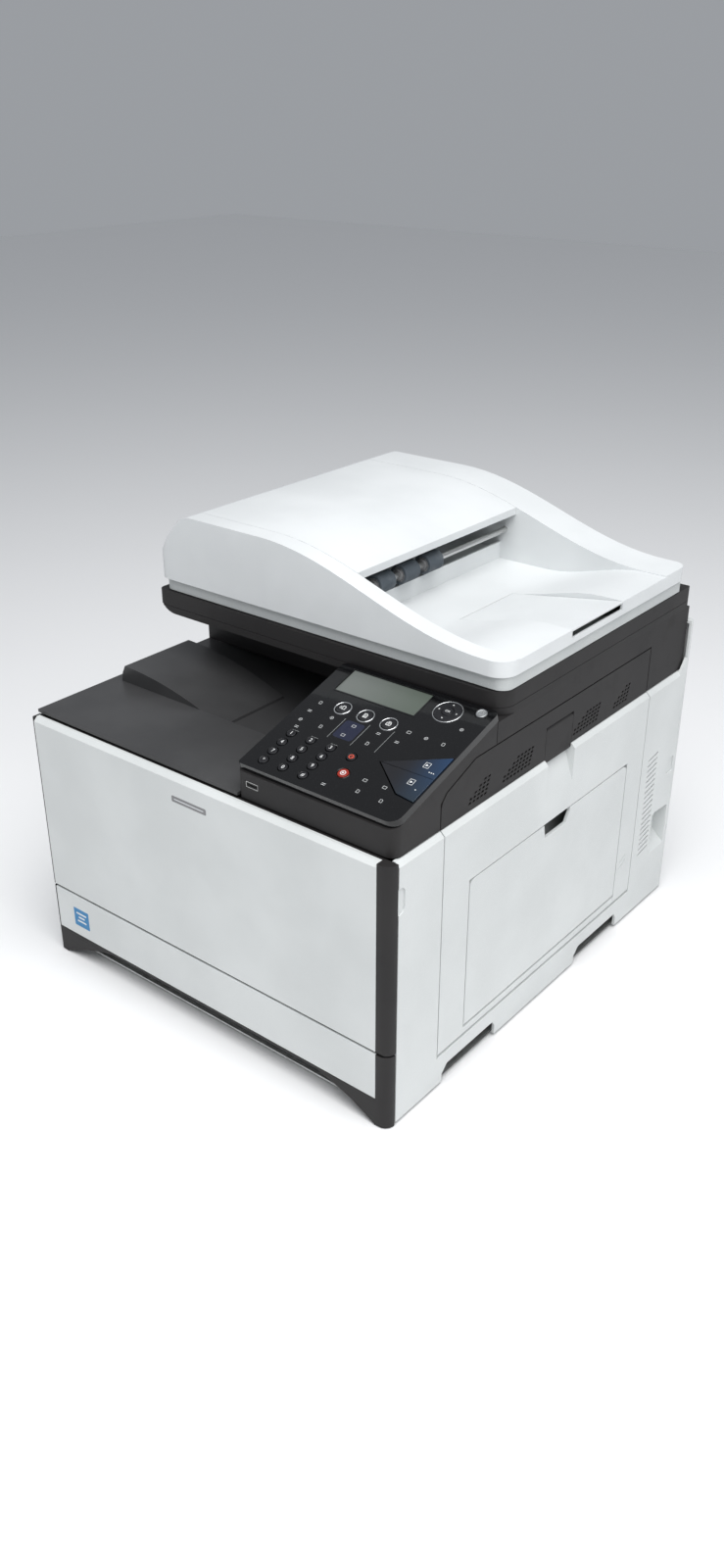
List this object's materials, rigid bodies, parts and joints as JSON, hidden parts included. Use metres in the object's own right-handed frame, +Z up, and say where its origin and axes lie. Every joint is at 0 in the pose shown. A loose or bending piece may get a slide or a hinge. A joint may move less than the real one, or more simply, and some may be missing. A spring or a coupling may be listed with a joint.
{
  "type": "photocopier",
  "caption": "Desktop colour copier with a sheet-feeding scanner lid, sloping key panel, output tray, side door with fold-down bypass tray, and a pull-out paper cassette.",
  "frame": {"origin": "on the floor under the middle of the machine's bounding box", "axes": "+Z up, +X to the machine's right seen from the front, +Y to the back; the front faces -Y"},
  "size_m": [0.429, 0.5, 0.4355],
  "materials": {
    "steel_sheet": "galvanised sheet",
    "steel_part": "satin",
    "pale_cover": "fine satin, faint pearl",
    "white_lid": "fine satin",
    "dark_cover": "fine satin",
    "dark_tray": "semi-gloss, fine grain",
    "gloss_black": "high gloss",
    "lcd": "matt screen",
    "glass": "polished",
    "black_plastic": "satin",
    "grey_plastic": "satin",
    "imaging": "coated drum surface",
    "roller_rubber": "ground rubber",
    "key_black": "gloss",
    "key_silver": "silver gloss",
    "key_red": "gloss",
    "key_start": "gloss, cool gradient"
  },
  "bodies": {
    "frame": {"chassis": "steel_sheet", "right_cover": "pale_cover", "left_cover": "pale_cover", "rear_cover": "pale_cover", "output_tray": "dark_tray", "panel_housing": "dark_cover", "upper_housing": "dark_cover", "panel_face": "gloss_black", "lcd_window": "lcd", "scanner_tub": "dark_cover", "scanner_frame": "dark_cover", "platen_glass": "glass", "power_inlet": "black_plastic", "laser_unit": "grey_plastic", "imaging_unit": "imaging", "toner_cartridges": "black_plastic", "fuser_unit": "steel_part", "lid_hinges": "steel_part"},
    "front_cover": {"front_panel": "pale_cover", "front_frame": "dark_cover"},
    "cassette": {"cassette_front": "pale_cover", "cassette_trim": "dark_cover", "cassette_tub": "grey_plastic"},
    "lift_plate": {"lift_plate": "steel_sheet"},
    "side_door": {"side_door": "pale_cover", "side_door_top": "dark_cover"},
    "side_latch": {"side_latch": "dark_cover"},
    "bypass_tray": {"bypass_tray": "pale_cover"},
    "bypass_extension": {"bypass_extension": "grey_plastic"},
    "bypass_guide_front": {"bypass_guide_front": "grey_plastic"},
    "bypass_guide_rear": {"bypass_guide_rear": "grey_plastic"},
    "lid": {"lid_shell": "white_lid", "lid_base": "white_lid"},
    "feeder_cover": {"feeder_cover": "white_lid"},
    "tray_extension": {"tray_extension": "white_lid"},
    "feed_roller": {"feed_roller": "roller_rubber"},
    "exit_roller": {"exit_roller": "roller_rubber"},
    "scan_carriage": {"scan_carriage": "black_plastic"},
    "key_1": {"key_1": "key_black"},
    "key_2": {"key_2": "key_black"},
    "key_3": {"key_3": "key_black"},
    "key_4": {"key_4": "key_black"},
    "key_5": {"key_5": "key_black"},
    "key_6": {"key_6": "key_black"},
    "key_7": {"key_7": "key_black"},
    "key_8": {"key_8": "key_black"},
    "key_9": {"key_9": "key_black"},
    "key_star": {"key_star": "key_black"},
    "key_0": {"key_0": "key_black"},
    "key_hash": {"key_hash": "key_black"},
    "key_copy": {"key_copy": "key_black"},
    "key_scan": {"key_scan": "key_black"},
    "key_fax": {"key_fax": "key_black"},
    "key_stop": {"key_stop": "key_red"},
    "key_start_mono": {"key_start_mono": "key_start"},
    "key_start_colour": {"key_start_colour": "key_start"},
    "key_power": {"key_power": "key_silver"},
    "key_nav": {"key_nav": "key_black"},
    "key_ok": {"key_ok": "key_black"},
    "key_clear": {"key_clear": "key_black"}
  },
  "joints": [
    {"name": "front_cover_hinge", "type": "hinge", "parent": "frame", "child": "front_cover", "pos_m": [0, -0.2465, 0.0835], "axis": [1, 0, 0], "range_deg": [0, 86]},
    {"name": "cassette_slide", "type": "slide", "parent": "frame", "child": "cassette", "axis": [0, -1, 0], "range_m": [0, 0.3]},
    {"name": "lift_plate_hinge", "type": "hinge", "parent": "cassette", "child": "lift_plate", "pos_m": [-0.1605, 0, 0.0159], "axis": [0, -1, 0], "range_deg": [0, 8]},
    {"name": "side_door_hinge", "type": "hinge", "parent": "frame", "child": "side_door", "pos_m": [0.211, 0, 0.0393], "axis": [0, 1, 0], "range_deg": [0, 50]},
    {"name": "side_latch_hinge", "type": "hinge", "parent": "side_door", "child": "side_latch", "pos_m": [0.207, 0, 0.295], "axis": [0, -1, 0], "range_deg": [0, 18], "stiffness_Nm_per_rad": 0.05, "springref_deg": -11.46},
    {"name": "bypass_tray_hinge", "type": "hinge", "parent": "side_door", "child": "bypass_tray", "pos_m": [0.211, 0, 0.0487], "axis": [0, 1, 0], "range_deg": [0, 65]},
    {"name": "bypass_extension_slide", "type": "slide", "parent": "bypass_tray", "child": "bypass_extension", "axis": [0, 0, 1], "range_m": [0, 0.055]},
    {"name": "bypass_guide_rear_slide", "type": "slide", "parent": "bypass_tray", "child": "bypass_guide_rear", "axis": [0, 1, 0], "range_m": [-0.036, 0.034]},
    {"name": "bypass_guide_front_slide", "type": "slide", "parent": "bypass_tray", "child": "bypass_guide_front", "axis": [0, -1, 0], "range_m": [-0.036, 0.034]},
    {"name": "lid_hinge", "type": "hinge", "parent": "frame", "child": "lid", "pos_m": [0, 0.2285, 0.363], "axis": [-1, 0, 0], "range_deg": [0, 60]},
    {"name": "feeder_cover_hinge", "type": "hinge", "parent": "lid", "child": "feeder_cover", "pos_m": [-0.1885, 0, 0.3735], "axis": [0, -1, 0], "range_deg": [0, 60]},
    {"name": "tray_extension_slide", "type": "slide", "parent": "lid", "child": "tray_extension", "axis": [0.9863, 0, 0.1652], "range_m": [0, 0.08]},
    {"name": "exit_roller_spin", "type": "hinge", "parent": "lid", "child": "exit_roller", "pos_m": [0.03, 0, 0.393], "axis": [0, 1, 0], "continuous": true},
    {"name": "feed_roller_spin", "type": "hinge", "parent": "lid", "child": "feed_roller", "pos_m": [-0.035, 0, 0.403], "axis": [0, 1, 0], "continuous": true},
    {"name": "scan_carriage_slide", "type": "slide", "parent": "frame", "child": "scan_carriage", "axis": [1, 0, 0], "range_m": [0, 0.3]},
    {"name": "key_1_press", "type": "slide", "parent": "frame", "child": "key_1", "axis": [0, 0.294, -0.9558], "range_m": [0, 0.0008], "stiffness_N_per_m": 300},
    {"name": "key_2_press", "type": "slide", "parent": "frame", "child": "key_2", "axis": [0, 0.294, -0.9558], "range_m": [0, 0.0008], "stiffness_N_per_m": 300},
    {"name": "key_3_press", "type": "slide", "parent": "frame", "child": "key_3", "axis": [0, 0.294, -0.9558], "range_m": [0, 0.0008], "stiffness_N_per_m": 300},
    {"name": "key_4_press", "type": "slide", "parent": "frame", "child": "key_4", "axis": [0, 0.294, -0.9558], "range_m": [0, 0.0008], "stiffness_N_per_m": 300},
    {"name": "key_5_press", "type": "slide", "parent": "frame", "child": "key_5", "axis": [0, 0.294, -0.9558], "range_m": [0, 0.0008], "stiffness_N_per_m": 300},
    {"name": "key_6_press", "type": "slide", "parent": "frame", "child": "key_6", "axis": [0, 0.294, -0.9558], "range_m": [0, 0.0008], "stiffness_N_per_m": 300},
    {"name": "key_7_press", "type": "slide", "parent": "frame", "child": "key_7", "axis": [0, 0.294, -0.9558], "range_m": [0, 0.0008], "stiffness_N_per_m": 300},
    {"name": "key_8_press", "type": "slide", "parent": "frame", "child": "key_8", "axis": [0, 0.294, -0.9558], "range_m": [0, 0.0008], "stiffness_N_per_m": 300},
    {"name": "key_9_press", "type": "slide", "parent": "frame", "child": "key_9", "axis": [0, 0.294, -0.9558], "range_m": [0, 0.0008], "stiffness_N_per_m": 300},
    {"name": "key_star_press", "type": "slide", "parent": "frame", "child": "key_star", "axis": [0, 0.294, -0.9558], "range_m": [0, 0.0008], "stiffness_N_per_m": 300},
    {"name": "key_0_press", "type": "slide", "parent": "frame", "child": "key_0", "axis": [0, 0.294, -0.9558], "range_m": [0, 0.0008], "stiffness_N_per_m": 300},
    {"name": "key_hash_press", "type": "slide", "parent": "frame", "child": "key_hash", "axis": [0, 0.294, -0.9558], "range_m": [0, 0.0008], "stiffness_N_per_m": 300},
    {"name": "key_copy_press", "type": "slide", "parent": "frame", "child": "key_copy", "axis": [0, 0.294, -0.9558], "range_m": [0, 0.0008], "stiffness_N_per_m": 300},
    {"name": "key_scan_press", "type": "slide", "parent": "frame", "child": "key_scan", "axis": [0, 0.294, -0.9558], "range_m": [0, 0.0008], "stiffness_N_per_m": 300},
    {"name": "key_fax_press", "type": "slide", "parent": "frame", "child": "key_fax", "axis": [0, 0.294, -0.9558], "range_m": [0, 0.0008], "stiffness_N_per_m": 300},
    {"name": "key_stop_press", "type": "slide", "parent": "frame", "child": "key_stop", "axis": [0, 0.294, -0.9558], "range_m": [0, 0.0008], "stiffness_N_per_m": 300},
    {"name": "key_start_mono_press", "type": "slide", "parent": "frame", "child": "key_start_mono", "axis": [0, 0.294, -0.9558], "range_m": [0, 0.0008], "stiffness_N_per_m": 300},
    {"name": "key_start_colour_press", "type": "slide", "parent": "frame", "child": "key_start_colour", "axis": [0, 0.294, -0.9558], "range_m": [0, 0.0008], "stiffness_N_per_m": 300},
    {"name": "key_power_press", "type": "slide", "parent": "frame", "child": "key_power", "axis": [0, 0.294, -0.9558], "range_m": [0, 0.0008], "stiffness_N_per_m": 300},
    {"name": "key_nav_press", "type": "slide", "parent": "frame", "child": "key_nav", "axis": [0, 0.294, -0.9558], "range_m": [0, 0.0008], "stiffness_N_per_m": 300},
    {"name": "key_ok_press", "type": "slide", "parent": "frame", "child": "key_ok", "axis": [0, 0.294, -0.9558], "range_m": [0, 0.0008], "stiffness_N_per_m": 300},
    {"name": "key_clear_press", "type": "slide", "parent": "frame", "child": "key_clear", "axis": [0, 0.294, -0.9558], "range_m": [0, 0.0008], "stiffness_N_per_m": 300}
  ],
  "couplings": [
    {"joint": "bypass_guide_front_slide", "follows": "bypass_guide_rear_slide", "ratio": 1},
    {"joint": "feed_roller_spin", "follows": "exit_roller_spin", "ratio": 1}
  ]
}
